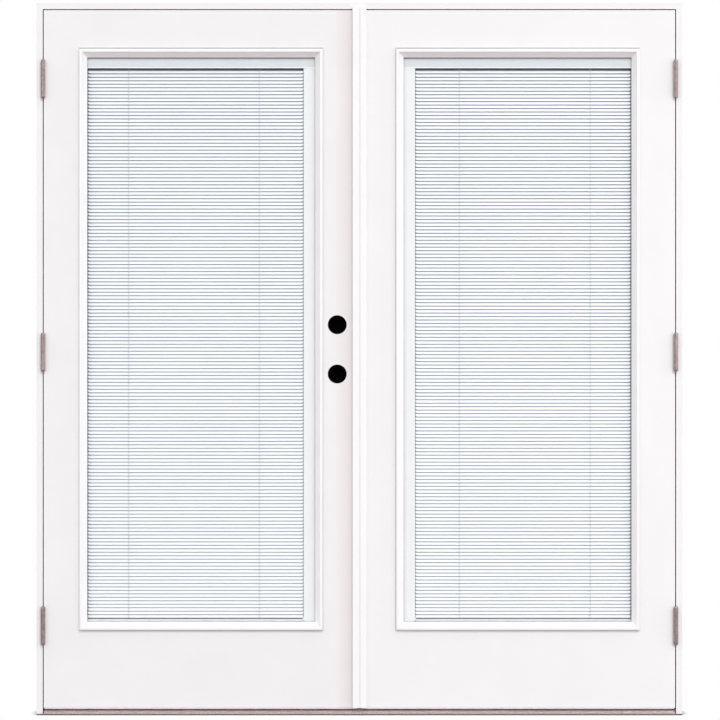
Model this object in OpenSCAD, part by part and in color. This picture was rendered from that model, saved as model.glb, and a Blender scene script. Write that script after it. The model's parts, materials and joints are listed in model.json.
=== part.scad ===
// Double outswing patio door in its frame, with blinds between the panes of glass.
// Millimetres. X runs across the unit, Y from outside (-) to inside (+) and Z up.
// The origin is the middle of the frame's underside. "Left" and "right" are seen from outside:
// the left door is the active one, bored for a lockset, and the right door is the passive one.
// Door pieces are drawn once, on the left, and mirrored for the right.

/* [Unit] */
// Overall width of the frame
unit_w = 1829; // [1500:1:2150]
// Overall height of the frame
unit_h = 2016; // [1950:1:2500]
// Depth of the frame, from its outside face to its inside face
unit_d = 116; // [100:1:170]

/* [Jambs] */
// Thickness of a jamb at its stop
jamb_t = 31.75; // [28:0.25:40]
// Thickness of a jamb beside the door, in front of the stop
jamb_face = 17.5; // [16:0.5:20]
// Space between the back of a closed door and the stop
seal_gap = 7.5; // [6:0.5:10]
// Width of the saw kerf that holds a weatherstrip
kerf_w = 3; // [2.6:0.1:4]
// Depth of that kerf
kerf_d = 9.5; // [9:0.5:14]

/* [Threshold] */
// Thickness of the base flange that the jambs stand on
sill_base = 2.5; // [2:0.5:4]
// How far the threshold stands out in front of the jambs
sill_nose = 10; // [4:1:30]
// Height of the threshold's tread at its back edge
tread_h = 16.5; // [14:0.5:17]
// Height of the ledge behind the doors
bumper_h = 36; // [34:0.5:45]
// Wall of the threshold extrusion
sill_wall = 2; // [1.5:0.5:3]

/* [Doors] */
// Thickness of a door
door_t = 44.5; // [40:0.5:50]
// How far the closed doors stand in front of the jambs
door_set = 0.5; // [0.3:0.1:2]
// Gap between a door and the frame, at the hinges and at the head
hinge_gap = 3; // [2:0.5:5]
// Gap between the two doors
meeting_gap = 5; // [4.5:0.5:7]
// Height of the doors' lower edge above the floor
sill_clear = 20; // [20:0.5:22]
// Bevel of the meeting edges, in degrees
edge_bevel = 3; // [2.5:0.5:4]
// Thickness of a door skin
skin_t = 1.6; // [1:0.1:2.5]
// Width of the stiles at the two long edges
stile_w = 32; // [28:1:32]
// Height of the rails at the top and bottom edges
rail_h = 40; // [25:1:60]
// Height of the block that backs the lockset
lock_block_h = 300; // [240:10:400]

/* [Lite frame] */
// Overall width of the frame round the glass
lite_w = 690; // [500:1:720]
// Overall height of the frame round the glass
lite_h = 1649; // [1300:1:1670]
// Height of its lower edge above the floor
lite_bottom = 240; // [200:1:260]
// Width of its face at the two sides
lite_side_w = 22; // [21:0.5:28]
// Width of its face at the top
lite_top_w = 27; // [22:0.5:32]
// Width of its face at the bottom
lite_bottom_w = 23; // [22:0.5:32]
// How far its lip stands out from the door's face
lite_proud = 9; // [6:0.5:14]
// How far it laps over the edge of the cut-out in the door
lite_lap = 8; // [6:0.5:8.5]

/* [Glass] */
// Thickness of the sealed glass unit
glass_t = 25.4; // [22:0.1:28]
// Thickness of one pane
pane_t = 3.1; // [3:0.1:4]
// How far the glass reaches behind the lite frame
glass_lap = 5.5; // [4.5:0.5:6]
// Width of the spacer bar between the panes
spacer_w = 5; // [4:0.5:5]

/* [Blind] */
// Width of one slat
slat_w = 12.7; // [11:0.1:14]
// Thickness of one slat
slat_t = 0.25; // [0.2:0.05:0.4]
// Rise of a slat's curve above its edges
slat_crown = 1; // [0.5:0.1:1.5]
// Distance between slats
slat_pitch = 9.84; // [8.5:0.01:11]
// Tilt of the slats, outside edge down, in degrees
slat_tilt = 62; // [50:1:65]
// Height of the head rail below the lite frame
head_rail_h = 29.5; // [20:0.5:45]
// Height of the bottom rail
bottom_rail_h = 8; // [8:0.5:20]
// Gap under the bottom rail
bottom_rail_gap = 0.5; // [0.5:0.5:20]
// Width of the channel that the lift and tilt magnets run in
channel_w = 31; // [26:0.5:40]
// Gap between the slats and that channel
channel_gap = 3; // [2:0.5:6]
// Distance from the hinge-side end of the slats to the first ladder
ladder_in_hinge = 116; // [60:1:150]
// Distance from the other end of the slats to the second ladder
ladder_in_lock = 125; // [60:1:150]
// Travel of the blind and of its lift slider
blind_lift = 1400; // [900:10:1400]

/* [Lockset bores] */
// Diameter of the bores through the active door
bore_d = 54; // [50:0.5:54]
// Distance from the door's edge to their centres
bore_backset = 60.3; // [60:0.1:64]
// Height of the lower bore
bore_z = 965; // [880:1:1050]
// Distance between the two bores
bore_spacing = 139.7; // [120:0.1:150]
// Diameter of the latch bores in the edge
edge_bore_d = 25.4; // [22:0.1:26]
// Depth of the strike bores in the passive door's edge
strike_bore_l = 24; // [15:1:28]

/* [Hinges] */
// Height of a hinge
hinge_h = 101.6; // [89:0.1:115]
// Distance from the door's top edge to the upper hinge's centre
hinge_from_top = 195; // [120:1:260]
// Distance from the door's lower edge to the lower hinge's centre
hinge_from_bottom = 233; // [120:1:260]
// Thickness of a hinge leaf
hinge_leaf_t = 2.4; // [2:0.1:3]
// Distance from the pin's centre to the leaf's back edge
hinge_reach = 44; // [40:0.5:48]
// Distance from the door's face out to the pin's centre
pin_out = 6.8; // [6.8:0.1:9]
// Diameter of a knuckle
knuckle_d = 12.7; // [11:0.1:12.8]
// Diameter of a hinge pin
pin_d = 6.4; // [5:0.1:7]

/* [Astragal] */
// Width of the two strips that cover the meeting gap
astragal_w = 40; // [30:1:50]
// Thickness of the strips
astragal_t = 8.5; // [5:0.5:9]
// Place of the line between them, off the middle
astragal_split = 1.5; // [0:0.1:1.5]
// Width of that line
astragal_gap = 0.6; // [0.5:0.1:0.8]
// How far the strips rise above the doors
astragal_rise = 7.5; // [4:0.5:12]

/* [Bolts] */
// Diameter of the passive door's bolts
bolt_d = 8; // [6:0.5:9]
// Length of a bolt
bolt_l = 180; // [120:1:250]
// Travel of a bolt
bolt_throw = 16; // [12:0.5:16]

/* [Hidden] */
$fn = 48;

// Clearances
fit = 0.05;       // a pin, screw or bolt in its hole, on the radius
seat = 0.3;       // beside a piece that slides, seals or is bedded in sealant
over = 1;         // how far a cutting shape runs past the surface that it cuts

// Colours
white = [0.96, 0.95, 0.95];
blind_white = [0.86, 0.89, 0.9];
nickel = [0.64, 0.57, 0.55];
sill_metal = [0.72, 0.62, 0.6];
wood = [0.8, 0.7, 0.52];
foam = [0.93, 0.9, 0.76];
dark = [0.25, 0.23, 0.23];

// Frame
front_y = -unit_d / 2;
in_y = unit_d / 2;
half_w = unit_w / 2;
rabbet_x = half_w - jamb_face;
stop_x = half_w - jamb_t;
face_y = front_y - door_set;
back_y = face_y + door_t;
mid_y = (face_y + back_y) / 2;
stop_y = back_y + seal_gap;
rabbet_z = unit_h - jamb_face;
stop_z = unit_h - jamb_t;

// Weatherstrip: a bulb on the stop with a fin in the kerf
bulb_w = 11;
bulb_h = seal_gap - seat;
fin_w = kerf_w - 0.8;
fin_l = kerf_d - 1;
bulb_in = 1.5;    // from the rabbet to the bulb

// Threshold
sill_y0 = front_y - sill_nose;
sill_front_h = 7;
tread_y = stop_y - 9;
sill_end = seat + hinge_gap;
ridge_n = 5;
ridge_w = 2;
ridge_h = 1;
seal_kerf_z = bumper_h - 8;

// Doors, in the left door's place
door_x0 = -rabbet_x + hinge_gap;
door_x1 = -meeting_gap / 2;
door_z0 = sill_clear;
door_z1 = rabbet_z - hinge_gap;
skin_y0 = face_y + skin_t;
skin_y1 = back_y - skin_t;
stile_x0 = door_x0 + stile_w;
stile_x1 = door_x1 - stile_w;
sweep_h = 3.1;

// Lite frame
lite_x0 = (door_x0 + door_x1 - lite_w) / 2;
lite_x1 = lite_x0 + lite_w;
lite_z0 = lite_bottom;
lite_z1 = lite_bottom + lite_h;
glass_set = (door_t - glass_t) / 2;
boss_share = 0.58; // from the lite frame's edge to its screws, as a share of its width
boss_half = 3.4;
boss_top = 1;     // from the door's face down to the bosses and the screw heads' seats
head_seat = 1.8;
lite_screw_r = 1.9;
lite_screw_head_r = 2.7;
lite_screw_head_l = 1.6;
side_screw_n = 7;
end_screw_n = 3;

// Sight opening and sealed unit
sight_x0 = lite_x0 + lite_side_w;
sight_x1 = lite_x1 - lite_side_w;
sight_z0 = lite_z0 + lite_bottom_w;
sight_z1 = lite_z1 - lite_top_w;
glass_y0 = face_y + glass_set;
glass_y1 = back_y - glass_set;
cavity_y0 = glass_y0 + pane_t;
cavity_y1 = glass_y1 - pane_t;
inset = glass_lap - spacer_w;      // from the sight edge back to the spacer's inside face

// Blind
channel_x1 = sight_x1 + inset - seat;
channel_x0 = sight_x1 - channel_w;
channel_wall = 1.2;
slat_x0 = sight_x0 - inset + seat;
slat_x1 = channel_x0 - channel_gap;
head_z0 = sight_z1 - head_rail_h;
slats_top = head_z0 - channel_gap;
bottom_rail_z = sight_z0 + bottom_rail_gap;
slats_bottom = bottom_rail_z + bottom_rail_h;
slat_rise = slat_w * sin(slat_tilt);
slat_n = floor((slats_top - slats_bottom - slat_rise) / slat_pitch) + 1;
slat_segments = 3;
ladder_xs = [slat_x0 + ladder_in_hinge, slat_x1 - ladder_in_lock];
cord_t = 0.8;
cord_side = 3;    // from a ladder to the lift cord beside it
route_w = 3;
route_d = 1.8;
cavity_mid = (cavity_y0 + cavity_y1) / 2;

// Sliders on the inside of the glass
slider_w = 20;
slider_t = 8;
lift_slider_h = 60;
tilt_slider_h = 40;
tilt_travel = 60;
slider_space = 4; // between the two sliders when they are nearest
tilt_slider_z = head_z0 - tilt_slider_h;
lift_slider_z = tilt_slider_z - tilt_travel - slider_space - lift_slider_h;
slider_x = (channel_x0 + sight_x1) / 2;

// Hinges
pin_x = door_x0 - hinge_gap / 2;
pin_y = face_y - pin_out;
leaf_y0 = pin_y + knuckle_d / 2 + 0.65;
leaf_y1 = pin_y + hinge_reach;
leaf_r = 6.35;
knuckle_n = 5;
knuckle_gap = 0.4;
tip_h = 5;
hinge_top_z = door_z1 - hinge_from_top;
hinge_low_z = door_z0 + hinge_from_bottom;
hinge_zs = [hinge_low_z, (hinge_low_z + hinge_top_z) / 2, hinge_top_z];
screw_head_r = 4.1;
screw_r = 2.1;
screw_head_l = 2;
door_screw_l = 25;
jamb_screw_l = 14.5;
screw_spots = [[-0.375, 14], [-0.14, 27], [0.14, 27], [0.375, 14]];

// Bolts in the passive door
bolt_in = 16;     // from the door's edge to the bolt's axis
bolt_x = door_x1 - bolt_in;
bolt_rest = 1;    // from the door's end to the retracted bolt
tab_h = 12;
tab_w = 6;
tab_from_tip = bolt_l - 30;
strike_t = 1.5;
strike_w = 22;
strike_l = 50;
strike_hole_r = bolt_d / 2 + 0.7;
bush_r = strike_hole_r + 2.2;
bush_z0 = 3.5;
bush_z1 = 14;

function edge_x(y) = door_x1 - (y - face_y) * tan(edge_bevel);

module along_x(x0, x1) translate([x0, 0, 0]) rotate([90, 0, 90]) linear_extrude(x1 - x0) children();
module along_y(y0, y1) translate([0, y1, 0]) rotate([90, 0, 0]) linear_extrude(y1 - y0) children();
module along_z(z0, z1) translate([0, 0, z0]) linear_extrude(z1 - z0) children();
module rect(a, b) translate(a) square([b[0] - a[0], b[1] - a[1]]);
module box(a, b) translate(a) cube(b - a);
module to_right() mirror([1, 0, 0]) children();
module rod_x(x0, x1, y, z, r) translate([x0, y, z]) rotate([0, 90, 0]) cylinder(h = x1 - x0, r = r);
module rod_y(y0, y1, x, z, r) translate([x, y1, z]) rotate([90, 0, 0]) cylinder(h = y1 - y0, r = r);
module rod_z(z0, z1, x, y, r) translate([x, y, z0]) cylinder(h = z1 - z0, r = r);

// ---- Frame ----

module jamb_outline() {
    kerf_x = -(rabbet_x + stop_x) / 2;
    polygon([
        [-half_w, front_y], [-rabbet_x, front_y], [-rabbet_x, stop_y],
        [kerf_x - kerf_w / 2, stop_y], [kerf_x - kerf_w / 2, stop_y + kerf_d],
        [kerf_x + kerf_w / 2, stop_y + kerf_d], [kerf_x + kerf_w / 2, stop_y],
        [-stop_x, stop_y], [-stop_x, in_y], [-half_w, in_y]
    ]);
}

module side_jamb() {
    difference() {
        along_z(sill_base, rabbet_z) jamb_outline();
        box([-half_w - over, stop_y, stop_z], [-stop_x + over, in_y + over, unit_h]);
        for (z = hinge_zs) {
            hinge_mortise(z, -rabbet_x - hinge_leaf_t, -rabbet_x + over);
            for (s = screw_spots)
                rod_x(-rabbet_x - jamb_screw_l - seat, -rabbet_x, leaf_y0 + s[1], z + s[0] * hinge_h,
                      screw_r + fit);
        }
    }
}

module left_jamb() color(white) side_jamb();
module right_jamb() color(white) to_right() side_jamb();

module head_jamb() {
    kerf_z = (rabbet_z + stop_z) / 2;
    color(white) difference() {
        along_x(-half_w, half_w) polygon([
            [front_y, unit_h], [front_y, rabbet_z], [stop_y, rabbet_z],
            [stop_y, kerf_z + kerf_w / 2], [stop_y + kerf_d, kerf_z + kerf_w / 2],
            [stop_y + kerf_d, kerf_z - kerf_w / 2], [stop_y, kerf_z - kerf_w / 2],
            [stop_y, stop_z], [in_y, stop_z], [in_y, unit_h]
        ]);
        rod_z(rabbet_z - over, unit_h - 2, -bolt_x, mid_y, strike_hole_r);
        box([-bolt_x - strike_l / 2, mid_y - strike_w / 2, rabbet_z - over],
            [-bolt_x + strike_l / 2, mid_y + strike_w / 2, rabbet_z + strike_t]);
    }
}

// Slope of the tread, and its height at a given depth
function tread_z(y) =
    sill_front_h + (tread_h - sill_front_h) * (y - sill_y0) / (tread_y - sill_y0);

// Anti-slip ridges, as points that follow the tread from back to front
function ridges() = [
    for (i = [ridge_n - 1 : -1 : 0])
        let (y = sill_y0 + 5 + i * 8)
        for (p = [[y + ridge_w, 0], [y + ridge_w, ridge_h], [y, ridge_h], [y, 0]])
            [p[0], tread_z(p[0]) + p[1]]
];

module threshold_outline() {
    difference() {
        polygon(concat(
            [[sill_y0, 0], [in_y, 0], [in_y, tread_h], [in_y - 26, tread_h + 3],
             [in_y - 44, bumper_h - 2], [in_y - 46, bumper_h], [stop_y + 2, bumper_h],
             [stop_y, bumper_h - 2], [stop_y, seal_kerf_z + kerf_w / 2],
             [stop_y + 5, seal_kerf_z + kerf_w / 2], [stop_y + 5, seal_kerf_z - kerf_w / 2],
             [stop_y, seal_kerf_z - kerf_w / 2], [stop_y, tread_h], [tread_y, tread_h]],
            ridges(),
            [[sill_y0, sill_front_h]]
        ));
        polygon([
            [sill_y0 + 3, sill_base], [tread_y - 1, sill_base],
            [tread_y - 1, tread_h - sill_wall], [sill_y0 + 3, sill_front_h - sill_wall]
        ]);
        polygon([
            [tread_y + 1, sill_base], [in_y - sill_wall, sill_base],
            [in_y - sill_wall, tread_h - sill_wall], [in_y - 28, tread_h + 1],
            [in_y - 47, bumper_h - 2 - sill_wall], [stop_y + 5 + sill_wall, bumper_h - 2 - sill_wall],
            [stop_y + 5 + sill_wall, tread_h - sill_wall], [tread_y + 1, tread_h - sill_wall]
        ]);
    }
}

module threshold() {
    color(sill_metal) difference() {
        union() {
            difference() {
                along_x(-rabbet_x + sill_end, rabbet_x - sill_end) threshold_outline();
                for (side = [-1, 1])
                    translate([side * (stop_x + jamb_t / 2 - seat), 0, 0])
                        box([-jamb_t / 2, stop_y - seat, sill_base],
                            [jamb_t / 2, in_y + over, bumper_h + over]);
            }
            box([-half_w, front_y, 0], [half_w, in_y, sill_base]);
        }
        rod_z(bush_z0, bush_z1 + over, -bolt_x, mid_y, bush_r + fit);
    }
}

// Bulb and fin. The fin points along -Y of the outline, into the kerf.
module bulb_outline() {
    polygon([
        [0, 0], [0, bulb_h * 0.55], [bulb_w * 0.18, bulb_h * 0.9], [bulb_w * 0.45, bulb_h],
        [bulb_w * 0.82, bulb_h * 0.9], [bulb_w, bulb_h * 0.55], [bulb_w, 0],
        [(bulb_w + fin_w) / 2, 0], [(bulb_w + fin_w) / 2, -fin_l],
        [(bulb_w - fin_w) / 2, -fin_l], [(bulb_w - fin_w) / 2, 0]
    ]);
}

module weatherstrips() {
    ledge = jamb_t - jamb_face;
    start = (ledge - bulb_w) / 2;
    color(white) {
        for (side = [0, 1]) mirror([side, 0, 0])
            along_z(tread_h + seat, stop_z - seat)
                translate([-rabbet_x + start, stop_y]) mirror([0, 1]) bulb_outline();
        along_x(-rabbet_x + start, rabbet_x - start)
            translate([stop_y, rabbet_z - start]) rotate(-90) mirror([0, 1]) bulb_outline();
    }
}

module threshold_seal() {
    reach = stop_x - seat;
    color(dark) along_x(-reach, reach) {
        polygon([
            [stop_y, seal_kerf_z + 4], [stop_y - bulb_h * 0.6, seal_kerf_z + 4],
            [stop_y - bulb_h, seal_kerf_z + 1.5], [stop_y - bulb_h, seal_kerf_z - 1.5],
            [stop_y - bulb_h * 0.6, seal_kerf_z - 4], [stop_y, seal_kerf_z - 4],
            [stop_y, seal_kerf_z - 1], [stop_y + 4.5, seal_kerf_z - 1],
            [stop_y + 4.5, seal_kerf_z + 1], [stop_y, seal_kerf_z + 1]
        ]);
    }
}

module bolt_strikes() {
    color(nickel) {
        difference() {
            box([-bolt_x - strike_l / 2 + fit, mid_y - strike_w / 2 + fit, rabbet_z],
                [-bolt_x + strike_l / 2 - fit, mid_y + strike_w / 2 - fit, rabbet_z + strike_t]);
            rod_z(rabbet_z - over, rabbet_z + strike_t + over, -bolt_x, mid_y, strike_hole_r);
        }
        difference() {
            rod_z(bush_z0, bush_z1, -bolt_x, mid_y, bush_r);
            rod_z(bush_z0 - over, bush_z1 + over, -bolt_x, mid_y, strike_hole_r);
        }
    }
}

// ---- Hinges ----

module leaf_outline(y0, y1, h) {
    rect([y0, -h / 2], [y1 - leaf_r, h / 2]);
    rect([y1 - leaf_r, -h / 2 + leaf_r], [y1, h / 2 - leaf_r]);
    for (s = [-1, 1]) translate([y1 - leaf_r, s * (h / 2 - leaf_r)]) circle(r = leaf_r);
}

module hinge_mortise(z, x0, x1)
    translate([0, 0, z]) along_x(x0, x1) leaf_outline(face_y - over, leaf_y1 + seat, hinge_h + 2 * seat);

// A leaf between x0 and x1, with every second knuckle from the first one given.
// The screws enter on the side "into" points away from.
module hinge_leaf(z, x0, x1, first, into) {
    step = hinge_h / knuckle_n;
    head_x = into > 0 ? x0 : x1;
    translate([0, 0, z]) difference() {
        union() {
            along_x(x0, x1) leaf_outline(leaf_y0, leaf_y1, hinge_h);
            for (k = [first : 2 : knuckle_n - 1]) {
                low = -hinge_h / 2 + k * step + (k > 0 ? knuckle_gap / 2 : 0);
                top = -hinge_h / 2 + (k + 1) * step - (k < knuckle_n - 1 ? knuckle_gap / 2 : 0);
                rod_z(low, top, pin_x, pin_y, knuckle_d / 2);
                box([x0, pin_y, low], [x1, leaf_y0 + over, top]);
            }
        }
        rod_z(-hinge_h / 2 - over, hinge_h / 2 + over, pin_x, pin_y, pin_d / 2 + fit);
        for (s = screw_spots) {
            rod_x(x0 - over, x1 + over, leaf_y0 + s[1], s[0] * hinge_h, screw_r + fit);
            translate([head_x, leaf_y0 + s[1], s[0] * hinge_h]) rotate([0, into * 90, 0])
                cylinder(h = screw_head_l + fit, r1 = screw_head_r + fit, r2 = screw_r + fit);
        }
    }
}

module tip() {
    r = knuckle_d / 2;
    rotate_extrude()
        polygon([[0, 0], [r, 0], [r - 0.4, 1.4], [r - 1.6, 3], [r - 3.4, tip_h - 0.6], [0, tip_h]]);
}

module hinge_screw(z, s, x, length, into) {
    translate([x, leaf_y0 + s[1], z + s[0] * hinge_h]) rotate([0, into * 90, 0]) {
        cylinder(h = screw_head_l, r1 = screw_head_r, r2 = screw_r);
        translate([0, 0, screw_head_l - 0.01]) cylinder(h = length - screw_head_l, r = screw_r);
    }
}

module door_hinge_leaves()
    for (z = hinge_zs) hinge_leaf(z, door_x0, door_x0 + hinge_leaf_t, 1, 1);

module door_hinge_screws()
    for (z = hinge_zs, s = screw_spots) hinge_screw(z, s, door_x0, door_screw_l, 1);

// The lowest knuckle is closed by a tip, which the pin stands on
module frame_hinge_leaves() {
    for (z = hinge_zs) {
        hinge_leaf(z, -rabbet_x - hinge_leaf_t, -rabbet_x, 0, -1);
        translate([pin_x, pin_y, z - hinge_h / 2]) mirror([0, 0, 1]) tip();
    }
}

module jamb_hinge_leaves() color(nickel) for (side = [0, 1]) mirror([side, 0, 0]) frame_hinge_leaves();

module jamb_hinge_screws() color(nickel) for (side = [0, 1]) mirror([side, 0, 0])
    for (z = hinge_zs, s = screw_spots) hinge_screw(z, s, -rabbet_x, jamb_screw_l, -1);

module hinge_pins() color(nickel) for (side = [0, 1]) mirror([side, 0, 0])
    for (z = hinge_zs) translate([pin_x, pin_y, z]) {
        translate([0, 0, -hinge_h / 2]) cylinder(h = hinge_h + 0.01, r = pin_d / 2);
        translate([0, 0, hinge_h / 2]) tip();
    }

// ---- Door slab ----

module hinge_stile() {
    difference() {
        box([door_x0, skin_y0, door_z0], [stile_x0, skin_y1, door_z1]);
        for (z = hinge_zs) {
            hinge_mortise(z, door_x0 - over, door_x0 + hinge_leaf_t);
            for (s = screw_spots)
                rod_x(door_x0, door_x0 + door_screw_l + seat, leaf_y0 + s[1], z + s[0] * hinge_h,
                      screw_r + fit);
        }
    }
}

module lock_stile_blank()
    along_z(door_z0, door_z1) polygon([
        [stile_x1, skin_y0], [edge_x(skin_y0), skin_y0], [edge_x(skin_y1), skin_y1], [stile_x1, skin_y1]
    ]);

module lock_bores()
    for (z = [bore_z, bore_z + bore_spacing])
        rod_y(face_y - over, back_y + over, door_x1 - bore_backset, z, bore_d / 2);

module active_lock_stile() {
    difference() {
        lock_stile_blank();
        for (z = [bore_z, bore_z + bore_spacing])
            rod_x(stile_x1 - over, door_x1 + over, mid_y, z, edge_bore_d / 2);
    }
}

// Bolt channels open at the two ends, each with a slot to the edge for the bolt's tab
module passive_lock_stile() {
    channel_l = bolt_rest + bolt_l + 2;
    difference() {
        lock_stile_blank();
        for (z = [bore_z, bore_z + bore_spacing])
            rod_x(edge_x(mid_y) - strike_bore_l, door_x1 + over, mid_y, z, edge_bore_d / 2);
        rod_z(door_z1 - channel_l, door_z1 + over, bolt_x, mid_y, bolt_d / 2 + seat);
        rod_z(door_z0 - over, door_z0 + channel_l, bolt_x, mid_y, bolt_d / 2 + seat);
        for (end = [0, 1])
            translate([0, 0, end * (door_z0 + door_z1)]) mirror([0, 0, end])
                box([bolt_x, mid_y - tab_w / 2 - 1, door_z0 + tab_from_tip - bolt_throw],
                    [door_x1 + over, mid_y + tab_w / 2 + 1, door_z0 + tab_from_tip + tab_h + 3]);
    }
}

module lock_block()
    difference() {
        z = bore_z + bore_spacing / 2;
        box([lite_x1 - lite_lap, skin_y0, z - lock_block_h / 2], [stile_x1, skin_y1, z + lock_block_h / 2]);
        lock_bores();
        for (z = [bore_z, bore_z + bore_spacing])
            rod_x(door_x1 - bore_backset, stile_x1 + over, mid_y, z, edge_bore_d / 2);
    }

module rails()
    for (z = [door_z0, door_z1 - rail_h])
        box([stile_x0, skin_y0, z], [stile_x1, skin_y1, z + rail_h]);

module cut_out() rect([lite_x0 + lite_lap, lite_z0 + lite_lap], [lite_x1 - lite_lap, lite_z1 - lite_lap]);

module core(with_block) {
    z = bore_z + bore_spacing / 2;
    along_y(skin_y0, skin_y1) difference() {
        rect([stile_x0, door_z0 + rail_h], [stile_x1, door_z1 - rail_h]);
        cut_out();
        if (with_block)
            rect([lite_x1 - lite_lap - over, z - lock_block_h / 2], [stile_x1 + over, z + lock_block_h / 2]);
    }
}

module skin(y0, y1, bored) {
    difference() {
        along_z(door_z0, door_z1)
            polygon([[door_x0, y0], [edge_x(y0), y0], [edge_x(y1), y1], [door_x0, y1]]);
        along_y(y0 - over, y1 + over) cut_out();
        for (z = hinge_zs) hinge_mortise(z, door_x0 - over, door_x0 + hinge_leaf_t);
        if (bored) lock_bores();
    }
}

module sweep(bolted) {
    fin_n = 6;
    y0 = face_y + 2;
    step = (door_t - 5) / fin_n;
    difference() {
        along_x(door_x0 + 2, door_x1 - 4) {
            rect([y0, door_z0 - 1.2], [y0 + step * fin_n, door_z0]);
            for (i = [0 : fin_n - 1])
                rect([y0 + i * step, door_z0 - sweep_h], [y0 + i * step + 1.4, door_z0 - 1.2]);
        }
        if (bolted)
            rod_z(door_z0 - sweep_h - over, door_z0 + over, bolt_x, mid_y, bolt_d / 2 + 1);
    }
}

// ---- Lite frame: two identical mitred rings, one on each face of the door ----

// Section of a ring: how far in from its outside edge, as a share of its width, and how far out
// from the door's face
ring_section = let (p = lite_proud, g = glass_set) [
    [0, 0], [0, p - 2.4], [0.03, p - 0.7], [0.11, p], [0.37, p], [0.41, p - 1.5],
    [0.96, 3.4 - g], [1, 2.6 - g], [1, -g], [0.8, -g], [0.8, 4.6 - g], [0.71, -3], [0.39, -3],
    [0.39, 0]
];

// The ring's four corners at one point of its section
function ring_corners(s) =
    let (x = s[0] * lite_side_w, z0 = lite_z0 + s[0] * lite_bottom_w,
         z1 = lite_z1 - s[0] * lite_top_w, y = face_y - s[1])
    [[lite_x0 + x, y, z0], [lite_x1 - x, y, z0], [lite_x1 - x, y, z1], [lite_x0 + x, y, z1]];

module ring() {
    n = len(ring_section);
    polyhedron(
        points = [for (s = ring_section) each ring_corners(s)],
        faces = [for (i = [0 : n - 1], j = [0 : 3])
            let (a = 4 * i, b = 4 * ((i + 1) % n), k = (j + 1) % 4) [a + k, a + j, b + j, b + k]]
    );
}

// Screw places, spread evenly along a side between two ends
function spread(a, b, n) = [for (i = [0 : n - 1]) a + (b - a) * (i + 0.5) / n];
lite_screw_spots = let (x = boss_share * lite_side_w, z0 = lite_z0 + boss_share * lite_bottom_w,
                        z1 = lite_z1 - boss_share * lite_top_w) concat(
    [for (a = [lite_x0 + x, lite_x1 - x], z = spread(lite_z0, lite_z1, side_screw_n)) [a, z]],
    [for (z = [z0, z1], a = spread(lite_x0, lite_x1, end_screw_n)) [a, z]]
);

// A ring with a square boss behind its face for each screw
module bossed_ring() {
    ring();
    for (s = lite_screw_spots)
        box([s[0] - boss_half, face_y + boss_top, s[1] - boss_half],
            [s[0] + boss_half, mid_y - seat, s[1] + boss_half]);
}

module outer_lite_frame()
    difference() {
        bossed_ring();
        for (s = lite_screw_spots) rod_y(face_y + 8, mid_y + over, s[0], s[1], lite_screw_r + fit);
    }

module to_inside() translate([0, 2 * mid_y, 0]) mirror([0, 1, 0]) children();

module inner_lite_frame()
    to_inside() difference() {
        bossed_ring();
        for (s = lite_screw_spots) {
            rod_y(face_y + head_seat - over, mid_y + over, s[0], s[1], lite_screw_r + fit);
            rod_y(face_y - lite_proud - over, face_y + head_seat, s[0], s[1], lite_screw_head_r + fit);
        }
    }

module lite_screws()
    to_inside() for (s = lite_screw_spots) {
        rod_y(face_y + head_seat - lite_screw_head_l, face_y + head_seat, s[0], s[1], lite_screw_head_r);
        rod_y(face_y + head_seat - 0.01, back_y - 9, s[0], s[1], lite_screw_r);
    }

// ---- Sealed glass unit and what is inside it ----

module glass_outline(inset)
    rect([sight_x0 - glass_lap + inset, sight_z0 - glass_lap + inset],
         [sight_x1 + glass_lap - inset, sight_z1 + glass_lap - inset]);

module outer_pane() along_y(glass_y0, cavity_y0) glass_outline(0);
module inner_pane() along_y(cavity_y1, glass_y1) glass_outline(0);

module spacer()
    along_y(cavity_y0, cavity_y1) difference() {
        glass_outline(0);
        glass_outline(spacer_w);
    }

module head_rail()
    along_x(slat_x0, channel_x1) difference() {
        rect([cavity_y0 + seat, head_z0], [cavity_y1 - seat, sight_z1 + inset - seat]);
        rect([cavity_y0 + seat + channel_wall, head_z0 + channel_wall],
             [cavity_y1 - seat - channel_wall, sight_z1 + inset - seat - channel_wall]);
    }

// Open on the side that faces the room, where the magnets run
module side_channel()
    along_z(sight_z0 - inset + seat, head_z0 - seat) difference() {
        rect([channel_x0, cavity_y0 + seat], [channel_x1, cavity_y1 - seat]);
        rect([channel_x0 + channel_wall, cavity_y0 + seat + channel_wall],
             [channel_x1 - channel_wall, cavity_y1]);
    }

// Half of a slat's outline: its height above its edges, along its width
function slat_arc(under) = [
    for (i = [0 : slat_segments])
        let (s = (i / slat_segments - 0.5) * slat_w)
        [s, slat_crown * (1 - pow(2 * s / slat_w, 2)) - under]
];
function reversed(v) = [for (i = [len(v) - 1 : -1 : 0]) v[i]];
function slat_z(i) = slats_top - slat_rise / 2 - i * slat_pitch;

module slat_outline() rotate(slat_tilt) polygon(concat(slat_arc(0), reversed(slat_arc(slat_t))));

module slats() {
    difference() {
        along_x(slat_x0, slat_x1)
            for (i = [0 : slat_n - 1]) translate([cavity_mid, slat_z(i)]) slat_outline();
        for (x = ladder_xs)
            box([x + cord_side - route_w / 2, cavity_mid - route_d / 2, slats_bottom],
                [x + cord_side + route_w / 2, cavity_mid + route_d / 2, slats_top + over]);
    }
}

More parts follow.
